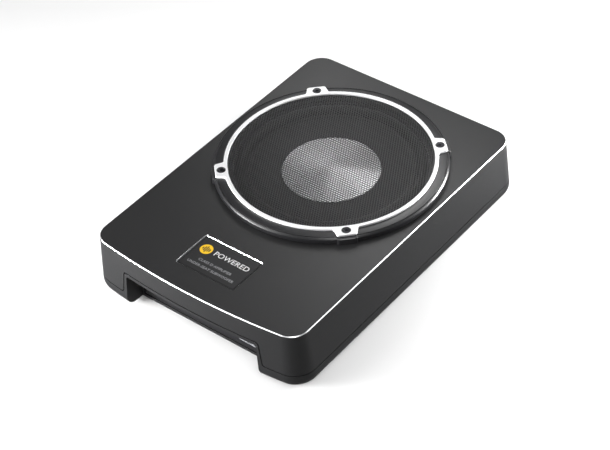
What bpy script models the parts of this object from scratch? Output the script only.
"""Powered under-seat car subwoofer: a flat two-shell enclosure with a shallow woofer, its
grille and its class-D amplifier. Metres, +Z up, width along X, length along Y. The origin is
under the middle of the enclosure, on the surface that its rubber feet stand on. The woofer is
towards +Y and the connector recess opens at the -Y end."""

import math

import bmesh
import bpy
from mathutils import Matrix, Vector

# Driving dimensions of the enclosure
TOP_HEIGHT = 0.0668
TOP_HALF_WIDTH = 0.1200
FAR_EDGE_Y = 0.1735
NEAR_EDGE_Y = -0.1770
NEAR_BOW = 0.0087
CORNER_RADIUS = 0.0179
EDGE_CHAMFER = 0.0012
SIDE_FLARE = 0.0055
NEAR_FLARE = 0.0030
LIP_RADIUS = 0.0130
FOOT_STANDOFF = 0.0010
WALL = 0.0026
TRAY_WALL = 0.0025
GAP = 0.0003

# Derived heights of the enclosure
WIDEST_Z = FOOT_STANDOFF + LIP_RADIUS
TRAY_FLOOR_Z = FOOT_STANDOFF + TRAY_WALL
ROOF_Z = TOP_HEIGHT - WALL
BOW_RADIUS = (TOP_HALF_WIDTH**2 + NEAR_BOW**2) / (2 * NEAR_BOW)
BOW_CENTRE_Y = NEAR_EDGE_Y + BOW_RADIUS

# Seam between the shells, and the arch that it makes over the connector recess
SEAM_Z = 0.0190
SEAM_HALF_GAP = 0.0003
ARCH_TOP_Z = 0.0457
ARCH_HALF_TOP = 0.0803
ARCH_HALF_FOOT = 0.0833
ARCH_RADIUS = 0.0035
ARCH_FOOT_RADIUS = 0.0040
GASKET_LOW_Z = 0.0172

# Connector recess
RECESS_BACK_Y = -0.1555
RECESS_TOP_Z = 0.0418
RECESS_HALF_TOP = 0.0779
RECESS_HALF_FOOT = 0.0806
RECESS_RADIUS = 0.0034
PANEL_FACE_Y = -0.1545
PANEL_THICK = 0.0018
PANEL_HALF_WIDTH = 0.0770
PANEL_LOW_Z = 0.0044
PANEL_HIGH_Z = 0.0412
FLANGE_THICK = 0.0025
WINDOW_HALF_WIDTH = 0.0720
WINDOW_LOW_Z = 0.0080
WINDOW_HIGH_Z = 0.0365
TUNNEL_HALF_WIDTH = 0.0860
PANEL_BACK_Y = PANEL_FACE_Y + PANEL_THICK
FLANGE_FACE_Y = PANEL_BACK_Y + GAP
FLANGE_BACK_Y = FLANGE_FACE_Y + FLANGE_THICK

# Woofer axis, rings and grille
WOOFER_Y = 0.0393
WOOFER_HOLE_RADIUS = 0.1000
TRIM_RADIUS = 0.1145
TRIM_WEB_LOW_Z = 0.0713
TRIM_SEAT_Z = 0.0738
TRIM_INNER_RADIUS = 0.0988
MESH_RADIUS = 0.1016
MESH_THICK = 0.0006
RING_INNER_RADIUS = 0.0992
RING_OUTER_RADIUS = 0.1044
RING_LOW_Z = TRIM_SEAT_Z + GAP
RING_TOP_Z = 0.0761
TAB_TIP_RADIUS = 0.1118
TAB_HALF_FOOT = math.radians(6.3)
TAB_HALF_TIP = math.radians(4.6)
TAB_ANGLES = [math.radians(45 + 90 * k) for k in range(4)]
TAB_SCREW_RADIUS = 0.1065

# Woofer basket, cone and motor
BASKET_FLANGE_RADIUS = 0.1075
BASKET_FLANGE_LOW_Z = TOP_HEIGHT + 0.0016
BASKET_FLANGE_TOP_Z = TOP_HEIGHT + 0.0032
SURROUND_LEDGE_Z = 0.0626
SPIDER_LEDGE_Z = 0.0426
MOTOR_TOP_Z = 0.0336
ROLL_RADIUS = 0.0056
ROLL_CENTRE_RADIUS = 0.0877
CONE_RADIUS = 0.0825
DUST_CAP_RADIUS = 0.0482
FORMER_RADIUS = 0.0250
POLE_RADIUS = 0.0244
COIL_RADIUS = 0.0266
TOP_PLATE_BORE = 0.0273

# Badge
BADGE_Y = -0.1298
BADGE_HALF = (0.03325, 0.02095)
BADGE_POCKET_DEPTH = 0.0016

# Amplifier board and the row of connectors on the panel
BOARD_Z = 0.0130
BOARD_THICK = 0.0016
BOARD_HALF_WIDTH = 0.0920
BOARD_NEAR_Y = -0.1460
BOARD_FAR_Y = -0.0820
BOARD_TOP_Z = BOARD_Z + BOARD_THICK
ROW_Z = 0.0300
RCA_XS = (-0.0650, -0.0510)
HIGH_LEVEL_X = -0.0325
KNOB_XS = {"gain_knob": -0.0140, "crossover_knob": -0.0010, "bass_boost_knob": 0.0120}
SWITCH_X = 0.0240
SWITCH_ZS = {"phase": 0.0330, "auto_on": 0.0255}
REMOTE_X = 0.0370
LED_Z = 0.0342
REMOTE_Z = 0.0260
SOCKET_BACK_Y = -0.1445
SWITCH_TRAVEL = 0.0040
POWER_X = 0.0585
POWER_LOW_Z = 0.0205
POWER_HIGH_Z = 0.0350
POWER_POLE_PITCH = 0.0082

RING_SEGMENTS = 44
PART_SEGMENTS = 32
SMALL_SEGMENTS = 12

# Places of the repeated fasteners, feet and posts
BOSS_PLACES = [(s * 0.106, -0.135) for s in (-1, 1)] + [(s * 0.103, 0.157) for s in (-1, 1)]
FOOT_PLACES = [(s * 0.088, y) for s in (-1, 1) for y in (-0.139, 0.139)]
BRACKET_PLACES = [(s * 0.092, y) for s in (-1, 1) for y in (-0.100, 0.105)]
POST_PLACES = [(s * 0.086, y) for s in (-1, 1) for y in (-0.138, -0.090)]
PANEL_SCREW_PLACES = [(s * 0.0747, 0.0240) for s in (-1, 1)]


def clear_scene():
    """Removes every object that the start-up file holds."""
    for old in list(bpy.data.objects):
        bpy.data.objects.remove(old, do_unlink=True)


def finish_of(name, colour, roughness, metallic):
    """The material called name, a Principled surface, made once and shared after that."""
    found = bpy.data.materials.get(name)
    if found:
        return found
    made = bpy.data.materials.new(name)
    made.use_nodes = True
    shader = made.node_tree.nodes["Principled BSDF"]
    shader.inputs["Base Color"].default_value = (*colour, 1.0)
    shader.inputs["Roughness"].default_value = roughness
    shader.inputs["Metallic"].default_value = metallic
    return made


POWDER_BLACK = ("powder_black", (0.045, 0.045, 0.047), 0.55, 0.0)
SATIN_BLACK = ("satin_black", (0.030, 0.030, 0.032), 0.40, 0.0)
BRUSHED_SILVER = ("brushed_silver", (0.82, 0.82, 0.83), 0.30, 1.0)
BLACK_STEEL = ("black_steel", (0.030, 0.030, 0.030), 0.45, 0.6)
BLACK_RUBBER = ("black_rubber", (0.020, 0.020, 0.020), 0.75, 0.0)
SPUN_ALUMINIUM = ("spun_aluminium", (0.78, 0.78, 0.79), 0.32, 1.0)
CONE_PAPER = ("cone_paper", (0.025, 0.025, 0.026), 0.85, 0.0)
FERRITE = ("ferrite", (0.060, 0.060, 0.065), 0.60, 0.0)
ZINC_STEEL = ("zinc_steel", (0.55, 0.56, 0.57), 0.35, 1.0)
COPPER = ("copper", (0.62, 0.30, 0.17), 0.35, 1.0)
SPIDER_CLOTH = ("spider_cloth", (0.55, 0.42, 0.14), 0.90, 0.0)
CIRCUIT_BOARD = ("circuit_board", (0.020, 0.120, 0.050), 0.50, 0.0)
BLACK_PLASTIC = ("black_plastic", (0.022, 0.022, 0.024), 0.45, 0.0)
GREY_PLASTIC = ("grey_plastic", (0.22, 0.22, 0.23), 0.50, 0.0)
BRASS = ("brass", (0.72, 0.52, 0.20), 0.30, 1.0)
FUSE_BLUE = ("fuse_blue", (0.05, 0.20, 0.60), 0.30, 0.0)
LED_RED = ("led_red", (0.70, 0.05, 0.04), 0.20, 0.0)


def solid(name, mesh, finish, sharp_degrees=35):
    """One object from a bmesh, shaded smooth where its faces meet at less than the given angle."""
    bmesh.ops.recalc_face_normals(mesh, faces=mesh.faces)
    data = bpy.data.meshes.new(name)
    mesh.to_mesh(data)
    mesh.free()
    data.shade_smooth()
    data.set_sharp_from_angle(angle=math.radians(sharp_degrees))
    data.materials.append(finish_of(*finish))
    made = bpy.data.objects.new(name, data)
    bpy.context.scene.collection.objects.link(made)
    return made


def tool(name, mesh):
    """A closed shape that only cuts or joins: it isn't part of the object."""
    made = solid(name, mesh, BLACK_PLASTIC)
    made.hide_render = True
    made.display_type = "WIRE"
    return made


def combine(target, other, operation):
    """Adds an exact Boolean to target."""
    modifier = target.modifiers.new(operation.lower() + "_" + other.name, "BOOLEAN")
    modifier.operation = operation
    modifier.object = other


def skin(mesh, rings, closed_loop=False):
    """Joins rings of points with the same count by quads. Two ends are capped unless it loops."""
    loops = [[mesh.verts.new(point) for point in ring] for ring in rings]
    pairs = list(zip(loops, loops[1:]))
    if closed_loop:
        pairs.append((loops[-1], loops[0]))
    for low, high in pairs:
        for i, vertex in enumerate(low):
            j = (i + 1) % len(low)
            mesh.faces.new((vertex, low[j], high[j], high[i]))
    if not closed_loop:
        mesh.faces.new(loops[0])
        mesh.faces.new(loops[-1])


def placed(mesh, first_vertex, matrix):
    """Moves the vertices made since first_vertex."""
    mesh.verts.ensure_lookup_table()
    bmesh.ops.transform(mesh, matrix=matrix, verts=mesh.verts[first_vertex:])


def add_turned(mesh, profile, segments, matrix=Matrix.Identity(4)):
    """Turns a closed (radius, height) outline about Z. Points at radius 0 become poles."""
    start = len(mesh.verts)
    rings = []
    for radius, height in profile:
        if radius == 0:
            rings.append([mesh.verts.new((0, 0, height))])
            continue
        turns = [2 * math.pi * k / segments for k in range(segments)]
        ring = [(radius * math.cos(a), radius * math.sin(a), height) for a in turns]
        rings.append([mesh.verts.new(point) for point in ring])
    for low, high in zip(rings, rings[1:] + rings[:1]):
        for i in range(segments):
            corners = [low[i % len(low)], low[(i + 1) % len(low)]]
            corners += [high[(i + 1) % len(high)], high[i % len(high)]]
            corners = list(dict.fromkeys(corners))
            if len(corners) > 2:
                mesh.faces.new(corners)
    placed(mesh, start, matrix)


def add_prism(mesh, outline, low, high, matrix=Matrix.Identity(4)):
    """Extrudes an (x, y) outline from height low to height high."""
    start = len(mesh.verts)
    skin(mesh, [[(x, y, z) for x, y in outline] for z in (low, high)])
    placed(mesh, start, matrix)


def add_box(mesh, low, high, bevel=0.0):
    """A box between two corners, with its edges bevelled where a width is given."""
    start = len(mesh.verts)
    outline = [(low[0], low[1]), (high[0], low[1]), (high[0], high[1]), (low[0], high[1])]
    skin(mesh, [[(x, y, z) for x, y in outline] for z in (low[2], high[2])])
    if bevel:
        mesh.verts.ensure_lookup_table()
        edges = list({edge for vertex in mesh.verts[start:] for edge in vertex.link_edges})
        bmesh.ops.bevel(mesh, geom=edges, offset=bevel, segments=1, affect="EDGES")


def rounded_rectangle(half_x, half_y, radius, steps=3):
    """(x, y) points of a rectangle with round corners, anticlockwise."""
    points = []
    for k, (sx, sy) in enumerate(((1, -1), (1, 1), (-1, 1), (-1, -1))):
        for step in range(steps + 1):
            angle = math.pi / 2 * (k - 1 + step / steps)
            x = sx * (half_x - radius) + radius * math.cos(angle)
            points.append((x, sy * (half_y - radius) + radius * math.sin(angle)))
    return points


def turned_about_woofer(name, profile, finish, segments=RING_SEGMENTS):
    """A turned piece on the woofer's axis."""
    mesh = bmesh.new()
    add_turned(mesh, profile, segments)
    made = solid(name, mesh, finish)
    made.location = (0, WOOFER_Y, 0)
    return made


def facing_near(x, z, y=0.0):
    """Stands a piece modelled along +Z so that it points out of the connector panel, along -Y."""
    return Matrix.Translation((x, y, z)) @ Matrix.Rotation(math.radians(90), 4, "X")


# Enclosure


def plan_outline(side_growth, near_growth, corner_steps=5, bow_steps=8):
    """(x, y) outline of the enclosure seen from above, with the near end bowed out."""
    half = TOP_HALF_WIDTH + side_growth
    far = FAR_EDGE_Y + side_growth
    radius = CORNER_RADIUS + side_growth
    bow = BOW_RADIUS + near_growth
    corner_x = half - radius
    corner_y = BOW_CENTRE_Y - math.sqrt((bow - radius) ** 2 - corner_x**2)
    lean = math.atan2(corner_x, BOW_CENTRE_Y - corner_y)
    right = []
    for step in range(corner_steps + 1):
        angle = (lean - math.pi / 2) * (1 - step / corner_steps)
        right.append((corner_x + radius * math.cos(angle), corner_y + radius * math.sin(angle)))
    for step in range(corner_steps + 1):
        angle = math.pi / 2 * step / corner_steps
        far_y = far - radius + radius * math.sin(angle)
        right.append((corner_x + radius * math.cos(angle), far_y))
    left = [(-x, y) for x, y in reversed(right)]
    arc = []
    for step in range(1, bow_steps):
        angle = lean * (2 * step / bow_steps - 1)
        arc.append((bow * math.sin(angle), BOW_CENTRE_Y - bow * math.cos(angle)))
    return right + left + arc


def growth_at(z):
    """How far the flared side stands out from the top outline at a height, as (side, near)."""
    share = (TOP_HEIGHT - EDGE_CHAMFER - z) / (TOP_HEIGHT - EDGE_CHAMFER - WIDEST_Z)
    side = EDGE_CHAMFER + (SIDE_FLARE - EDGE_CHAMFER) * share
    near = EDGE_CHAMFER + (NEAR_FLARE - EDGE_CHAMFER) * share
    return side, near


def level(z, side_growth, near_growth):
    return [(x, y, z) for x, y in plan_outline(side_growth, near_growth)]


def lip_levels(inset, steps):
    """Levels round the quarter-round lower edge, inset from the outer skin."""
    radius = LIP_RADIUS - inset
    levels = []
    for step in range(steps + 1):
        angle = math.pi / 2 * step / steps
        inward = inset + radius * (1 - math.cos(angle))
        z = WIDEST_Z - radius * math.sin(angle)
        levels.append(level(z, SIDE_FLARE - inward, NEAR_FLARE - inward))
    return levels


def outer_body():
    mesh = bmesh.new()
    top = [level(TOP_HEIGHT, 0, 0)]
    top.append(level(TOP_HEIGHT - EDGE_CHAMFER, EDGE_CHAMFER, EDGE_CHAMFER))
    skin(mesh, top + lip_levels(0, 4))
    return mesh


def cavity(high, low, inset):
    """The straight-sided hollow of a shell, between two heights."""
    mesh = bmesh.new()
    levels = []
    for z in (high, low):
        side, near = growth_at(z)
        levels.append(level(z, side - inset, near - inset))
    skin(mesh, levels)
    return mesh


def tray_cavity():
    mesh = bmesh.new()
    side, near = growth_at(TOP_HEIGHT - 0.005)
    top = level(TOP_HEIGHT - 0.005, side - TRAY_WALL, near - TRAY_WALL)
    skin(mesh, [top] + lip_levels(TRAY_WALL, 3))
    return mesh


def arch_profile(growth):
    """(x, z) outline of what lies under the seam at the recess: a slab with an arch on it."""
    seam = SEAM_Z + growth
    foot = ARCH_HALF_FOOT + growth
    slope = (ARCH_HALF_FOOT - ARCH_HALF_TOP) / (ARCH_TOP_Z - SEAM_Z)
    right = [(0.2, -0.02), (0.2, seam)]
    for step in range(4):
        angle = math.pi / 6 * step
        x = foot + ARCH_FOOT_RADIUS * (1 - math.sin(angle))
        right.append((x, seam + ARCH_FOOT_RADIUS * (1 - math.cos(angle))))
    radius = ARCH_RADIUS + growth
    shoulder = ARCH_TOP_Z + growth - radius
    side = foot - slope * (shoulder - seam)
    for step in range(4):
        angle = math.pi / 6 * step
        x = side - radius * (1 - math.cos(angle))
        right.append((x, shoulder + radius * math.sin(angle)))
    return right + [(-x, z) for x, z in reversed(right)]


def below_seam(name, growth):
    """The space under the seam, with the arch over the recess at the near end only."""
    slab = bmesh.new()
    add_box(slab, (-0.2, -0.16, -0.02), (0.2, 0.21, SEAM_Z + growth))
    made = tool(name, slab)
    arch = bmesh.new()
    add_along_y(arch, arch_profile(growth), -0.21, FLANGE_BACK_Y + 2 * GAP)
    combine(made, tool(name + "_arch", arch), "UNION")
    return made


def recess_profile():
    """(x, z) outline of the recess opening, from under the floor to its roof."""
    right = [(RECESS_HALF_FOOT, -0.005)]
    shoulder = RECESS_TOP_Z - RECESS_RADIUS
    for step in range(4):
        angle = math.pi / 6 * step
        x = RECESS_HALF_TOP - RECESS_RADIUS * (1 - math.cos(angle))
        right.append((x, shoulder + RECESS_RADIUS * math.sin(angle)))
    return right + [(-x, z) for x, z in reversed(right)]


def add_along_y(mesh, profile, near, far):
    """Extrudes an (x, z) outline along Y."""
    skin(mesh, [[(x, y, z) for x, z in profile] for y in (near, far)])


def boss_set(name, radius, low, high, places, segments=SMALL_SEGMENTS):
    """A tool of upright cylinders."""
    mesh = bmesh.new()
    for x, y in places:
        outline = [(0, low), (radius, low), (radius, high), (0, high)]
        add_turned(mesh, outline, segments, Matrix.Translation((x, y, 0)))
    return tool(name, mesh)


def ring_places(radius, angles):
    return [(radius * math.cos(a), WOOFER_Y + radius * math.sin(a)) for a in angles]


TAB_SCREW_PLACES = ring_places(TAB_SCREW_RADIUS, TAB_ANGLES)


def badge_pocket():
    """Cutter of the badge's pocket, with its edge sloping out at 45 degrees."""
    mesh = bmesh.new()
    rings = []
    floor = TOP_HEIGHT - BADGE_POCKET_DEPTH
    for z, grow in ((floor, 0.0), (floor + 0.0003, 0.0), (TOP_HEIGHT + 0.0002, 0.0015)):
        half_x = BADGE_HALF[0] + GAP + grow
        half_y = BADGE_HALF[1] + GAP + grow
        outline = rounded_rectangle(half_x, half_y, 0.001 + grow)
        rings.append([(x, BADGE_Y + y, z) for x, y in outline])
    skin(mesh, rings)
    return tool("badge_pocket", mesh)


def build_housing():
    """The upper casing: top face, flared sides, screw bosses and the woofer's hole."""
    shell = solid("housing_shell", outer_body(), POWDER_BLACK, 25)
    combine(shell, below_seam("housing_seam", SEAM_HALF_GAP), "DIFFERENCE")
    combine(shell, tool("housing_hollow", cavity(ROOF_Z, 0.010, WALL)), "DIFFERENCE")
    bosses = boss_set("housing_bosses", 0.004, TRAY_FLOOR_Z + GAP, ROOF_Z + 0.0013, BOSS_PLACES)
    combine(shell, bosses, "UNION")
    bores = boss_set("boss_bores", 0.0017, 0.0, 0.022, BOSS_PLACES, 8)
    combine(shell, bores, "DIFFERENCE")
    hole = bmesh.new()
    outline = [(0, 0.055), (WOOFER_HOLE_RADIUS, 0.055), (WOOFER_HOLE_RADIUS, 0.075), (0, 0.075)]
    add_turned(hole, outline, RING_SEGMENTS, Matrix.Translation((0, WOOFER_Y, 0)))
    combine(shell, tool("woofer_hole", hole), "DIFFERENCE")
    combine(shell, badge_pocket(), "DIFFERENCE")
    tab_holes = boss_set("tab_threads", 0.0019, 0.055, 0.075, TAB_SCREW_PLACES, 8)
    combine(shell, tab_holes, "DIFFERENCE")


def build_tray():
    """The lower casing: floor, rolled lip, and the arched tunnel of the connector recess."""
    tray = solid("bottom_tray", outer_body(), POWDER_BLACK, 25)
    combine(tray, below_seam("tray_seam", -SEAM_HALF_GAP), "INTERSECT")

    tunnel = bmesh.new()
    low = (-TUNNEL_HALF_WIDTH, -0.21, -0.01)
    add_box(tunnel, low, (TUNNEL_HALF_WIDTH, FLANGE_BACK_Y, 0.08))
    hollow = tool("tray_hollow", tray_cavity())
    combine(hollow, tool("tunnel_block", tunnel), "DIFFERENCE")
    combine(tray, hollow, "DIFFERENCE")

    rebate = tool("gasket_rebate", cavity(0.05, GASKET_LOW_Z - GAP, 0.0012))
    keep = bmesh.new()
    add_box(keep, (-0.09, -0.21, -0.01), (0.09, -0.14, 0.08))
    combine(rebate, tool("rebate_stop", keep), "DIFFERENCE")
    combine(tray, rebate, "DIFFERENCE")

    opening = bmesh.new()
    add_along_y(opening, recess_profile(), -0.21, RECESS_BACK_Y)
    combine(tray, tool("recess_opening", opening), "DIFFERENCE")
    pocket = bmesh.new()
    low = (-PANEL_HALF_WIDTH - GAP, RECESS_BACK_Y - 0.0002, PANEL_LOW_Z - GAP)
    high = (PANEL_HALF_WIDTH + GAP, FLANGE_FACE_Y, PANEL_HIGH_Z + GAP)
    add_box(pocket, low, high)
    combine(tray, tool("panel_pocket", pocket), "DIFFERENCE")
    window = bmesh.new()
    low = (-WINDOW_HALF_WIDTH, FLANGE_FACE_Y - 0.001, WINDOW_LOW_Z)
    high = (WINDOW_HALF_WIDTH, FLANGE_BACK_Y + 0.001, WINDOW_HIGH_Z)
    add_box(window, low, high)
    combine(tray, tool("panel_window", window), "DIFFERENCE")

    under = -0.002
    screw_holes = boss_set("tray_screw_holes", 0.0018, under, 0.008, BOSS_PLACES, 8)
    combine(tray, screw_holes, "DIFFERENCE")
    head_room = FOOT_STANDOFF + 0.0014
    heads = boss_set("tray_counterbores", 0.0036, under, head_room, BOSS_PLACES, 12)
    combine(tray, heads, "DIFFERENCE")
    feet = boss_set("foot_pockets", 0.0104, under, FOOT_STANDOFF + 0.0008, FOOT_PLACES, 16)
    combine(tray, feet, "DIFFERENCE")
    pads = boss_set("bracket_bosses", 0.0055, FOOT_STANDOFF + 0.0010, 0.0090, BRACKET_PLACES)
    combine(tray, pads, "UNION")
    bracket_holes = boss_set("bracket_holes", 0.0021, under, 0.0078, BRACKET_PLACES, 12)
    combine(tray, bracket_holes, "DIFFERENCE")
    posts = boss_set("board_posts", 0.0034, FOOT_STANDOFF + 0.0010, BOARD_Z - GAP, POST_PLACES, 12)
    combine(tray, posts, "UNION")
    pegs = boss_set("board_pegs", 0.0016, BOARD_Z - 0.002, BOARD_TOP_Z + 0.0014, POST_PLACES, 12)
    combine(tray, pegs, "UNION")
    threads = bmesh.new()
    for x, z in PANEL_SCREW_PLACES:
        outline = [(0, -0.001), (0.0015, -0.001), (0.0015, 0.006), (0, 0.006)]
        add_turned(threads, outline, 8, facing_near(x, z, FLANGE_BACK_Y + 0.001))
    combine(tray, tool("panel_threads", threads), "DIFFERENCE")


def build_gasket():
    """Rubber seal in the tray's rebate, on three sides and the near corners."""
    mesh = bmesh.new()
    levels = []
    for z, inset in (
        (GASKET_LOW_Z, 0.0015),
        (SEAM_Z, 0.0015),
        (SEAM_Z, 0.0028),
        (GASKET_LOW_Z, 0.0028),
    ):
        side, near = growth_at(SEAM_Z)
        levels.append(level(z, side - inset, near - inset))
    skin(mesh, levels, closed_loop=True)
    gasket = solid("shell_gasket", mesh, BLACK_RUBBER)
    stop = bmesh.new()
    add_box(stop, (-0.0905, -0.21, 0.0), (0.0905, -0.139, 0.08))
    combine(gasket, tool("gasket_stop", stop), "DIFFERENCE")


def upright_screw(head_radius, head, shank_radius, length, socket_radius):
    """Outline of a screw whose head's top is at 0 and whose shank runs down."""
    bottom = -head - length
    return [
        (0, -head * 0.55),
        (socket_radius, -head * 0.55),
        (socket_radius, 0),
        (head_radius * 0.85, 0),
        (head_radius, -head * 0.25),
        (head_radius, -head),
        (shank_radius, -head),
        (shank_radius, bottom + shank_radius * 0.5),
        (shank_radius * 0.6, bottom),
        (0, bottom),
    ]


def numbered(name, places, make, finish):
    """One object for each place, named name_1, name_2 and so on. make adds the solid to a mesh."""
    for number, place in enumerate(places, start=1):
        mesh = bmesh.new()
        make(mesh, *place)
        solid(f"{name}_{number}", mesh, finish)


def build_enclosure_hardware():
    """Case screws and rubber feet under the tray."""
    upside_down = Matrix.Rotation(math.pi, 4, "X")
    screw = upright_screw(0.0031, 0.0011, 0.0014, 0.0150, 0.0012)
    top = FOOT_STANDOFF + 0.0005
    foot = [(0, 0), (0.0093, 0), (0.0100, 0.0006), (0.0100, top), (0, top)]

    def add_screw(mesh, x, y):
        add_turned(mesh, screw, 10, Matrix.Translation((x, y, FOOT_STANDOFF)) @ upside_down)

    def add_foot(mesh, x, y):
        add_turned(mesh, foot, 16, Matrix.Translation((x, y, 0)))

    numbered("tray_screw", BOSS_PLACES, add_screw, ZINC_STEEL)
    numbered("rubber_foot", FOOT_PLACES, add_foot, BLACK_RUBBER)


def build_badge():
    """A thin plate in the top face's pocket."""
    floor = TOP_HEIGHT - BADGE_POCKET_DEPTH
    plate = bmesh.new()
    outline = [(x, y + BADGE_Y) for x, y in rounded_rectangle(*BADGE_HALF, 0.001)]
    add_prism(plate, outline, floor + GAP, TOP_HEIGHT - 0.0006)
    solid("badge_plate", plate, SATIN_BLACK)


# Rings and grille


def build_trim_ring():
    """Black ring over the woofer's flange, with a groove round its edge and four bosses."""
    low = TOP_HEIGHT + GAP
    edge = TRIM_SEAT_Z - 0.0006
    profile = [
        (TRIM_INNER_RADIUS, TRIM_WEB_LOW_Z),
        (TRIM_INNER_RADIUS, TRIM_SEAT_Z - 0.0009),
        (MESH_RADIUS + 0.0004, TRIM_SEAT_Z - 0.0009),
        (MESH_RADIUS + 0.0004, TRIM_SEAT_Z),
        (RING_OUTER_RADIUS + 0.0006, TRIM_SEAT_Z),
        (0.1122, edge),
        (0.1122, edge - 0.0009),
        (0.1129, edge - 0.0009),
        (0.1129, edge - 0.0002),
        (TRIM_RADIUS - 0.0008, edge - 0.0004),
        (TRIM_RADIUS, edge - 0.0013),
        (TRIM_RADIUS, low),
        (TRIM_RADIUS - 0.0050, low),
        (TRIM_RADIUS - 0.0050, TRIM_WEB_LOW_Z),
    ]
    ring = turned_about_woofer("trim_ring", list(reversed(profile)), SATIN_BLACK)

    pads = bmesh.new()
    posts = bmesh.new()
    pad = rounded_rectangle(0.0043, 0.0095, 0.0030)
    post = [(0, BASKET_FLANGE_TOP_Z + GAP), (0.0038, BASKET_FLANGE_TOP_Z + GAP)]
    post += [(0.0038, TRIM_SEAT_Z - 0.0014), (0, TRIM_SEAT_Z - 0.0014)]
    for angle in TAB_ANGLES:
        turn = Matrix.Translation((0, WOOFER_Y, 0)) @ Matrix.Rotation(angle, 4, "Z")
        outward = turn @ Matrix.Translation((0.1121, 0, 0))
        add_prism(pads, pad, low, TRIM_WEB_LOW_Z - 0.0004, outward)
        inward = turn @ Matrix.Translation((TAB_SCREW_RADIUS - 0.002, 0, 0))
        add_turned(posts, post, 12, inward)
    combine(ring, tool("trim_bosses", pads), "UNION")
    combine(ring, tool("trim_posts", posts), "UNION")
    holes = boss_set("trim_screw_holes", 0.0020, 0.060, 0.080, TAB_SCREW_PLACES, 12)
    combine(ring, holes, "DIFFERENCE")


def grille_ring_loops():
    """Matching inner and outer loops of the bright ring, whose outer loop has four tabs."""
    tab = [(-TAB_HALF_FOOT, RING_OUTER_RADIUS), (-TAB_HALF_TIP, TAB_TIP_RADIUS - 0.0016)]
    tab += [(-TAB_HALF_TIP * 0.78, TAB_TIP_RADIUS), (TAB_HALF_TIP * 0.78, TAB_TIP_RADIUS)]
    tab += [(TAB_HALF_TIP, TAB_TIP_RADIUS - 0.0016), (TAB_HALF_FOOT, RING_OUTER_RADIUS)]
    between = 10
    polar = []
    for centre in TAB_ANGLES:
        polar += [(centre + turn, radius) for turn, radius in tab]
        span = math.pi / 2 - 2 * TAB_HALF_FOOT
        for step in range(1, between):
            polar.append((centre + TAB_HALF_FOOT + span * step / between, RING_OUTER_RADIUS))
    outer = [(r * math.cos(a), r * math.sin(a)) for a, r in polar]
    inner = [(RING_INNER_RADIUS * math.cos(a), RING_INNER_RADIUS * math.sin(a)) for a, _ in polar]
    return inner, outer


def countersink(radius, throat, depth, top):
    """Outline of a countersunk hole's cutter, wide at the top."""
    outline = [(0, top + 0.0005), (radius, top + 0.0005), (radius, top)]
    return outline + [(throat, top - depth), (throat, top - 0.02), (0, top - 0.02)]


def build_grille():
    """The bright ring, the perforated disc that it clamps, and their four screws."""
    inner, outer = grille_ring_loops()
    mesh = bmesh.new()
    corners = [(inner, RING_LOW_Z), (outer, RING_LOW_Z), (outer, RING_TOP_Z), (inner, RING_TOP_Z)]
    skin(mesh, [[(x, y, z) for x, y in loop] for loop, z in corners], closed_loop=True)
    ring = solid("grille_ring", mesh, BRUSHED_SILVER)
    ring.location = (0, WOOFER_Y, 0)
    sinks = bmesh.new()
    outline = countersink(0.0044, 0.0020, 0.0014, RING_TOP_Z)
    for x, y in TAB_SCREW_PLACES:
        add_turned(sinks, outline, SMALL_SEGMENTS, Matrix.Translation((x, y, 0)))
    combine(ring, tool("grille_countersinks", sinks), "DIFFERENCE")

    low = TRIM_SEAT_Z - MESH_THICK
    outline = [(0, low), (MESH_RADIUS, low), (MESH_RADIUS, TRIM_SEAT_Z), (0, TRIM_SEAT_Z)]
    turned_about_woofer("grille_mesh", outline, BLACK_STEEL)

    outline = [(0, -0.0009), (0.0014, -0.0009), (0.0014, 0), (0.0036, 0)]
    outline += [(0.0016, -0.0012), (0.0016, -0.0110), (0, -0.0110)]

    def add_screw(mesh, x, y):
        place = Matrix.Translation((x, y, RING_TOP_Z - GAP))
        add_turned(mesh, outline, SMALL_SEGMENTS, place)

    numbered("grille_screw", TAB_SCREW_PLACES, add_screw, ZINC_STEEL)


# Woofer


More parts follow.
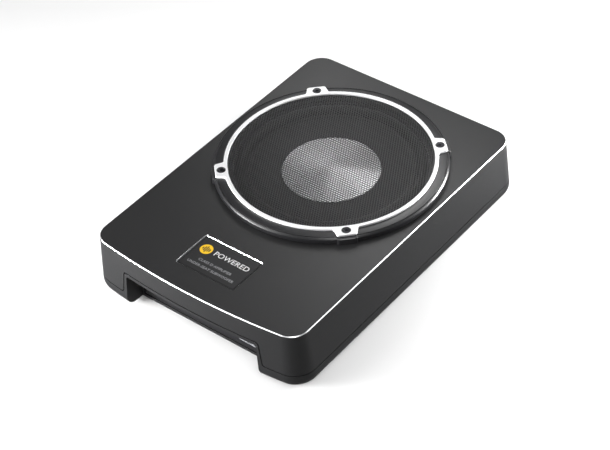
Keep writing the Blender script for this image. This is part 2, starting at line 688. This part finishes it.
def build_basket():
    """Pressed basket: flange, ledge for the surround, six windows, and the spider's ledge."""
    profile = [
        (BASKET_FLANGE_RADIUS, BASKET_FLANGE_TOP_Z),
        (BASKET_FLANGE_RADIUS, BASKET_FLANGE_LOW_Z),
        (0.0993, BASKET_FLANGE_LOW_Z),
        (0.0993, SURROUND_LEDGE_Z - 0.0020),
        (0.0936, SURROUND_LEDGE_Z - 0.0020),
        (0.0932, 0.0566),
        (0.0760, 0.0458),
        (0.0600, SPIDER_LEDGE_Z - 0.0020),
        (0.0500, SPIDER_LEDGE_Z - 0.0024),
        (0.0470, MOTOR_TOP_Z),
        (0.0300, MOTOR_TOP_Z),
        (0.0300, MOTOR_TOP_Z + 0.0020),
        (0.0454, MOTOR_TOP_Z + 0.0020),
        (0.0484, SPIDER_LEDGE_Z),
        (0.0570, SPIDER_LEDGE_Z),
        (0.0752, 0.0480),
        (0.0914, 0.0582),
        (0.0914, SURROUND_LEDGE_Z),
        (0.0974, SURROUND_LEDGE_Z),
        (0.0974, BASKET_FLANGE_TOP_Z),
    ]
    basket = turned_about_woofer("speaker_basket", profile, BLACK_STEEL, 36)
    windows = bmesh.new()
    spread = math.radians(19)
    arc = [spread * (step / 2 - 1) for step in range(5)]
    for k in range(6):
        outline = [(0.088 * math.cos(a), 0.088 * math.sin(a)) for a in arc]
        outline += [(0.063 * math.cos(a), 0.063 * math.sin(a)) for a in reversed(arc)]
        turn = Matrix.Rotation(math.radians(60 * k), 4, "Z")
        add_prism(windows, outline, 0.035, 0.0605, turn)
    window_tool = tool("basket_windows", windows)
    window_tool.location = (0, WOOFER_Y, 0)
    combine(basket, window_tool, "DIFFERENCE")
    tab_holes = boss_set("flange_tab_holes", 0.0020, 0.055, 0.080, TAB_SCREW_PLACES, 8)
    combine(basket, tab_holes, "DIFFERENCE")

    low = TOP_HEIGHT + GAP
    high = BASKET_FLANGE_LOW_Z - GAP
    outline = [(0.1040, low), (0.1040, high), (0.1010, high), (0.1010, low)]
    turned_about_woofer("basket_gasket", outline, BLACK_RUBBER)


def roll_arc(radius, centre_radius, centre_z, steps):
    """Half circle of a surround's roll, from its inner foot over the top to its outer foot."""
    points = []
    for step in range(steps + 1):
        angle = math.pi * (1 - step / steps)
        x = centre_radius + radius * math.cos(angle)
        points.append((x, centre_z + radius * math.sin(angle)))
    return points


def build_suspension():
    """Rubber surround with its half roll, its clamp ring, and the corrugated cloth spider."""
    thick = 0.0008
    low = SURROUND_LEDGE_Z + GAP
    high = low + thick
    over = roll_arc(ROLL_RADIUS + thick / 2, ROLL_CENTRE_RADIUS, high, 6)
    under = roll_arc(ROLL_RADIUS - thick / 2, ROLL_CENTRE_RADIUS, high - thick / 2, 6)
    profile = [(0.0784, low), (0.0784, high)] + over + [(0.0968, high), (0.0968, low)]
    profile += [(x, z - thick / 2) for x, z in reversed(under)]
    turned_about_woofer("surround", profile, BLACK_RUBBER, PART_SEGMENTS)

    outline = [(0.0952, high + GAP), (0.0968, high + GAP), (0.0968, high + 0.0040)]
    outline += [(0.0952, high + 0.0040)]
    turned_about_woofer("surround_clamp_ring", outline, SATIN_BLACK, PART_SEGMENTS)

    thick = 0.0006
    low = SPIDER_LEDGE_Z + GAP
    folds = 6
    wave = [(0.0259, low + 0.0010)]
    for fold in range(folds):
        wave.append((0.0285 + 0.0205 * fold / (folds - 1), low + 0.0020 * (fold % 2)))
    wave += [(0.0500, low), (0.0560, low)]
    profile = [(x, z + thick) for x, z in wave] + list(reversed(wave))
    turned_about_woofer("spider", profile, SPIDER_CLOTH, 28)


def build_cone():
    """The moving pieces: cone, dust cap, coil former and winding."""
    top = [(0.0259, 0.0500), (0.0340, 0.0555), (0.0460, 0.0602), (0.0500, 0.0604)]
    top += [(0.0720, 0.0614), (CONE_RADIUS, SURROUND_LEDGE_Z)]
    thick = 0.0010
    under = [(x, z - thick) for x, z in reversed(top)]
    turned_about_woofer("cone", top + under, CONE_PAPER, PART_SEGMENTS)

    crown = 0.0038
    rim_z = 0.0612
    steps = 4
    dome = []
    for step in range(steps + 1):
        share = step / steps
        dome.append((DUST_CAP_RADIUS * share, rim_z + crown * (1 - share**2)))
    under = [(x, z - 0.0006) for x, z in reversed(dome)]
    under[0] = (DUST_CAP_RADIUS, rim_z - 0.0006)
    turned_about_woofer("dust_cap", dome + under, SPUN_ALUMINIUM, PART_SEGMENTS)

    outline = [(FORMER_RADIUS, 0.0205), (FORMER_RADIUS + 0.0005, 0.0205)]
    outline += [(FORMER_RADIUS + 0.0005, 0.0500), (FORMER_RADIUS, 0.0500)]
    turned_about_woofer("voice_coil_former", outline, SPUN_ALUMINIUM, PART_SEGMENTS)
    outline = [(FORMER_RADIUS + 0.0008, 0.0220), (COIL_RADIUS, 0.0220)]
    outline += [(COIL_RADIUS, 0.0360), (FORMER_RADIUS + 0.0008, 0.0360)]
    turned_about_woofer("voice_coil", outline, COPPER, PART_SEGMENTS)


def build_motor():
    """Top plate, ferrite ring, and the yoke whose vented pole stands in the coil."""
    plate_low = 0.0271
    magnet_low = 0.0138
    outline = [(TOP_PLATE_BORE, plate_low), (0.0460, plate_low)]
    outline += [(0.0460, MOTOR_TOP_Z - GAP), (TOP_PLATE_BORE, MOTOR_TOP_Z - GAP)]
    turned_about_woofer("top_plate", outline, ZINC_STEEL, PART_SEGMENTS)
    outline = [(0.0310, magnet_low), (0.0500, magnet_low)]
    outline += [(0.0500, plate_low - GAP), (0.0310, plate_low - GAP)]
    turned_about_woofer("ferrite_magnet", outline, FERRITE, PART_SEGMENTS)
    outline = [
        (0.0060, 0.0085),
        (0.0460, 0.0085),
        (0.0460, magnet_low - GAP),
        (POLE_RADIUS, magnet_low - GAP),
        (POLE_RADIUS, MOTOR_TOP_Z - GAP),
        (0.0060, MOTOR_TOP_Z - GAP),
    ]
    turned_about_woofer("yoke_and_pole", outline, ZINC_STEEL, PART_SEGMENTS)


def wire(name, route, radius, finish):
    """A round wire along an open run of points, as a closed tube."""
    curve = bpy.data.curves.new(name, "CURVE")
    curve.dimensions = "3D"
    curve.bevel_depth = radius
    curve.bevel_resolution = 1
    curve.use_fill_caps = True
    spline = curve.splines.new("POLY")
    spline.points.add(len(route) - 1)
    for point, place in zip(spline.points, route):
        point.co = (*place, 1.0)
    curve.materials.append(finish_of(*finish))
    made = bpy.data.objects.new(name, curve)
    bpy.context.scene.collection.objects.link(made)


def smooth_route(corners, steps):
    """Points along a Bezier curve whose four corners are given."""
    first, second, third, last = [Vector(corner) for corner in corners]
    points = []
    for step in range(steps + 1):
        t = step / steps
        u = 1 - t
        points.append(first * u**3 + second * 3 * u * u * t + third * 3 * u * t * t + last * t**3)
    return points


def build_woofer_wiring():
    """Terminal strip on the basket, and its two leads down to the amplifier board."""
    strip = bmesh.new()
    face = WOOFER_Y - 0.0988
    add_box(strip, (-0.0100, face, 0.0480), (0.0100, face + 0.0046, 0.0550), 0.0005)
    solid("woofer_terminal", strip, BLACK_PLASTIC)
    lead_radius = 0.0011
    foot = (BOARD_FAR_Y - 0.0040, BOARD_TOP_Z + GAP + lead_radius)
    for name, side in (("positive", 1), ("negative", -1)):
        x = side * 0.005
        start = (x, face - GAP - lead_radius, 0.0500)
        bends = [(x, face - 0.0050, 0.0180), (x * 2, face - 0.0070, foot[1])]
        route = smooth_route([start, *bends, (x * 2, *foot)], 9)
        wire("woofer_lead_" + name, route, lead_radius, BLACK_RUBBER)


# Amplifier


def build_board():
    """Circuit board on the tray's four posts, with what stands on it."""
    board = bmesh.new()
    low = (-BOARD_HALF_WIDTH, BOARD_NEAR_Y, BOARD_Z)
    add_box(board, low, (BOARD_HALF_WIDTH, BOARD_FAR_Y, BOARD_TOP_Z))
    made = solid("amplifier_board", board, CIRCUIT_BOARD)
    holes = boss_set("board_holes", 0.0019, 0.0, 0.030, POST_PLACES, 12)
    combine(made, holes, "DIFFERENCE")

    base = BOARD_TOP_Z + GAP
    can = [(0, base), (0.0090, base), (0.0090, base + 0.0294), (0.0084, base + 0.0300)]
    can += [(0, base + 0.0300)]

    def add_can(mesh, x, y):
        add_turned(mesh, can, 16, Matrix.Translation((x, y, 0)))

    places = [(-0.0640, -0.1080), (-0.0430, -0.1080)]
    numbered("filter_capacitor", places, add_can, BLACK_PLASTIC)

    choke = bmesh.new()
    ring = []
    for step in range(8):
        angle = 2 * math.pi * step / 8
        ring.append((0.0115 + 0.0045 * math.cos(angle), base + 0.0047 + 0.0045 * math.sin(angle)))
    add_turned(choke, ring, 16, Matrix.Translation((0.0680, -0.1080, 0)))
    solid("toroid_choke", choke, COPPER)

    transformer = bmesh.new()
    ring = [(0.0060, base), (0.0160, base), (0.0175, base + 0.0015), (0.0175, base + 0.0145)]
    ring += [(0.0160, base + 0.0160), (0.0060, base + 0.0160)]
    add_turned(transformer, ring, 16, Matrix.Translation((0.0270, -0.1080, 0)))
    solid("power_transformer", transformer, COPPER)

    holder = bmesh.new()
    centre = (0.0580, -0.1340)
    low = (centre[0] - 0.0110, centre[1] - 0.0040, base)
    high = (centre[0] + 0.0110, centre[1] + 0.0040, base + 0.0080)
    add_box(holder, low, high, 0.0004)
    holder_object = solid("fuse_holder", holder, BLACK_PLASTIC)
    slots = bmesh.new()
    blades = bmesh.new()
    for side in (-1, 1):
        x = centre[0] + side * 0.0070
        low = (x - 0.0030, centre[1] - 0.0007, base + 0.0010)
        add_box(slots, low, (x + 0.0030, centre[1] + 0.0007, base + 0.0100))
        low = (x - 0.0026, centre[1] - 0.0004, base + 0.0020)
        add_box(blades, low, (x + 0.0026, centre[1] + 0.0004, base + 0.0100))
    combine(holder_object, tool("fuse_slots", slots), "DIFFERENCE")
    fuse = bmesh.new()
    low = (centre[0] - 0.0096, centre[1] - 0.0025, base + 0.0084)
    add_box(fuse, low, (centre[0] + 0.0096, centre[1] + 0.0025, base + 0.0190), 0.0004)
    fuse_object = solid("blade_fuse", fuse, FUSE_BLUE)
    combine(fuse_object, tool("fuse_blades", blades), "UNION")


def build_heat_spreader():
    """Aluminium angle that carries the output stage's heat up into the housing's roof."""
    bar = bmesh.new()
    back = BOARD_FAR_Y + 0.0010
    profile = [(back, 0.0200), (back + 0.0045, 0.0200), (back + 0.0045, ROOF_Z - GAP)]
    profile += [(back - 0.0140, ROOF_Z - GAP), (back - 0.0140, ROOF_Z - 0.0040)]
    profile += [(back, ROOF_Z - 0.0040)]
    skin(bar, [[(x, y, z) for y, z in profile] for x in (-0.0850, 0.0850)])
    solid("heat_spreader", bar, BRUSHED_SILVER)


# Connector panel


def panel_hole(mesh, half_x, half_z, x, z):
    low = (x - half_x, PANEL_FACE_Y - 0.002, z - half_z)
    add_box(mesh, low, (x + half_x, PANEL_BACK_Y + 0.002, z + half_z))


def round_hole(mesh, radius, x, z, segments=SMALL_SEGMENTS):
    outline = [(0, 0), (radius, 0), (radius, 0.006), (0, 0.006)]
    add_turned(mesh, outline, segments, facing_near(x, z, PANEL_BACK_Y + 0.002))


def build_panel():
    """The plate at the back of the recess, with a hole for each connector and control."""
    plate = bmesh.new()
    height = (PANEL_HIGH_Z - PANEL_LOW_Z) / 2
    outline = rounded_rectangle(PANEL_HALF_WIDTH, height, 0.003)
    middle = PANEL_LOW_Z + height
    skin(plate, [[(x, y, middle + z) for x, z in outline] for y in (PANEL_FACE_Y, PANEL_BACK_Y)])
    panel = solid("connector_panel", plate, SATIN_BLACK)
    holes = bmesh.new()
    for x in RCA_XS:
        round_hole(holes, 0.0045, x, ROW_Z)
    for x in KNOB_XS.values():
        round_hole(holes, 0.0030, x, ROW_Z)
    panel_hole(holes, 0.0103, 0.0058, HIGH_LEVEL_X, ROW_Z)
    for z in SWITCH_ZS.values():
        panel_hole(holes, 0.0042, 0.0017, SWITCH_X, z)
    panel_hole(holes, 0.0063, 0.0058, REMOTE_X, REMOTE_Z)
    round_hole(holes, 0.0019, REMOTE_X, LED_Z, 12)
    power_middle = (POWER_LOW_Z + POWER_HIGH_Z) / 2
    power_half = (POWER_HIGH_Z - POWER_LOW_Z) / 2 + GAP
    panel_hole(holes, 0.0128, power_half, POWER_X, power_middle)
    for x, z in PANEL_SCREW_PLACES:
        round_hole(holes, 0.0016, x, z, 8)
    combine(panel, tool("panel_holes", holes), "DIFFERENCE")

    outline = upright_screw(0.0022, 0.0014, 0.0012, 0.0060, 0.0009)

    def add_screw(mesh, x, z):
        add_turned(mesh, outline, 10, facing_near(x, z, PANEL_FACE_Y - GAP - 0.0014))

    numbered("panel_screw", PANEL_SCREW_PLACES, add_screw, ZINC_STEEL)


def build_socket(name, x, z, half, front, wall, depth, finish):
    """A rectangular connector body, half its size each way, with a hollow open at its front."""
    body = bmesh.new()
    add_box(body, (x - half[0], front, z - half[1]), (x + half[0], SOCKET_BACK_Y, z + half[1]))
    made = solid(name, body, finish)
    hollow = bmesh.new()
    low = (x - half[0] + wall, front - 0.001, z - half[1] + wall)
    add_box(hollow, low, (x + half[0] - wall, front + depth, z + half[1] - wall))
    combine(made, tool(name + "_hollow", hollow), "DIFFERENCE")


def build_sockets():
    """Line-level jacks, high-level socket, remote port, power terminals and the power light."""
    body = bmesh.new()
    low = (RCA_XS[0] - 0.0065, FLANGE_FACE_Y + 0.0002, ROW_Z - 0.0060)
    add_box(body, low, (RCA_XS[1] + 0.0065, SOCKET_BACK_Y, ROW_Z + 0.0060))
    jacks = solid("rca_jacks", body, BLACK_PLASTIC)
    barrels = bmesh.new()
    bores = bmesh.new()
    for x in RCA_XS:
        barrel = [(0, -0.002), (0.0041, -0.002), (0.0041, 0.0081), (0.0036, 0.0086), (0, 0.0086)]
        add_turned(barrels, barrel, SMALL_SEGMENTS, facing_near(x, ROW_Z, FLANGE_FACE_Y + 0.0003))
        bore = [(0, 0.0000), (0.0017, 0.0000), (0.0017, 0.0100), (0, 0.0100)]
        add_turned(bores, bore, SMALL_SEGMENTS, facing_near(x, ROW_Z, FLANGE_FACE_Y + 0.0003))
    combine(jacks, tool("rca_barrels", barrels), "UNION")
    combine(jacks, tool("rca_bores", bores), "DIFFERENCE")

    front = PANEL_FACE_Y - 0.0060
    half = (0.0100, 0.0055)
    build_socket("high_level_socket", HIGH_LEVEL_X, ROW_Z, half, front, 0.0012, 0.0110, BLACK_PLASTIC)
    header = bmesh.new()
    low = (HIGH_LEVEL_X - 0.0085, front + 0.0092, ROW_Z - 0.0030)
    add_box(header, low, (HIGH_LEVEL_X + 0.0085, front + 0.0107, ROW_Z + 0.0030))
    pins = bmesh.new()
    for k in range(4):
        x = HIGH_LEVEL_X + 0.0042 * (k - 1.5)
        low = (x - 0.0005, front + 0.0050, ROW_Z - 0.0005)
        add_box(pins, low, (x + 0.0005, front + 0.0100, ROW_Z + 0.0005))
    made = solid("high_level_pins", header, BRASS)
    combine(made, tool("header_pins", pins), "UNION")

    front = PANEL_FACE_Y - 0.0006
    half = (0.0060, 0.0055)
    build_socket("remote_port", REMOTE_X, REMOTE_Z, half, front, 0.0010, 0.0080, BLACK_PLASTIC)

    block = bmesh.new()
    low = (POWER_X - 0.0125, PANEL_FACE_Y - 0.0075, POWER_LOW_Z)
    add_box(block, low, (POWER_X + 0.0125, SOCKET_BACK_Y, POWER_HIGH_Z))
    made = solid("power_terminal_block", block, GREY_PLASTIC)
    entries = bmesh.new()
    well = [(0, 0), (0.0026, 0), (0.0026, 0.0120), (0, 0.0120)]
    for k in range(3):
        x = POWER_X + POWER_POLE_PITCH * (k - 1)
        low = (x - 0.0030, PANEL_FACE_Y - 0.0090, POWER_LOW_Z + 0.0010)
        add_box(entries, low, (x + 0.0030, PANEL_FACE_Y + 0.0045, POWER_LOW_Z + 0.0068))
        place = facing_near(x, POWER_HIGH_Z - 0.0036, PANEL_FACE_Y - 0.0040)
        add_turned(entries, well, 12, place)
    combine(made, tool("power_entries", entries), "DIFFERENCE")

    light = bmesh.new()
    outline = [(0, 0), (0.0021, 0), (0.0021, 0.0020), (0.0015, 0.0020), (0.0015, 0.0046)]
    outline += [(0.0011, 0.0053), (0, 0.0055)]
    add_turned(light, outline, 12, facing_near(REMOTE_X, LED_Z, FLANGE_FACE_Y + 0.0022))
    solid("power_led", light, LED_RED)


def build_controls():
    """Three turning knobs with their potentiometers, and two slide switches in one block."""
    pot = [(0, 0), (0.0055, 0), (0.0055, 0.0080), (0.0028, 0.0080), (0.0028, 0.0030), (0, 0.0030)]
    profile = [(0, -0.0050), (0.0025, -0.0050), (0.0025, 0.0004), (0.0044, 0.0004)]
    profile += [(0.0044, 0.0058), (0.0038, 0.0066), (0, 0.0066)]
    for name, x in KNOB_XS.items():
        body = bmesh.new()
        add_turned(body, pot, SMALL_SEGMENTS, facing_near(x, ROW_Z, FLANGE_FACE_Y + 0.0082))
        solid(name.replace("knob", "pot"), body, ZINC_STEEL)
        axis = bpy.data.objects.new(name + "_axis", None)
        axis.location = (x, PANEL_FACE_Y, ROW_Z)
        bpy.context.scene.collection.objects.link(axis)
        knob = bmesh.new()
        add_turned(knob, profile, 16, Matrix.Rotation(math.radians(90), 4, "X"))
        made = solid(name, knob, BLACK_PLASTIC)
        made.parent = axis
        notch = bmesh.new()
        low = (x - 0.0004, PANEL_FACE_Y - 0.0080, ROW_Z + 0.0012)
        add_box(notch, low, (x + 0.0004, PANEL_FACE_Y - 0.0060, ROW_Z + 0.0060))
        combine(made, tool(name + "_notch", notch), "DIFFERENCE")

    block = bmesh.new()
    low = (SWITCH_X - 0.0055, FLANGE_FACE_Y + 0.0003, SWITCH_ZS["auto_on"] - 0.0029)
    high = (SWITCH_X + 0.0055, FLANGE_FACE_Y + 0.0070, SWITCH_ZS["phase"] + 0.0029)
    add_box(block, low, high)
    solid("switch_block", block, ZINC_STEEL)
    for name, z in SWITCH_ZS.items():
        slider = bmesh.new()
        add_box(slider, (-0.0016, -0.0030, -0.0013), (0.0016, PANEL_THICK, 0.0013), 0.0003)
        made = solid(name + "_slider", slider, GREY_PLASTIC)
        made.location = (SWITCH_X - SWITCH_TRAVEL / 2, PANEL_FACE_Y, z)


clear_scene()
build_housing()
build_tray()
build_gasket()
build_enclosure_hardware()
build_badge()
build_trim_ring()
build_grille()
build_basket()
build_suspension()
build_cone()
build_motor()
build_woofer_wiring()
build_board()
build_heat_spreader()
build_panel()
build_sockets()
build_controls()
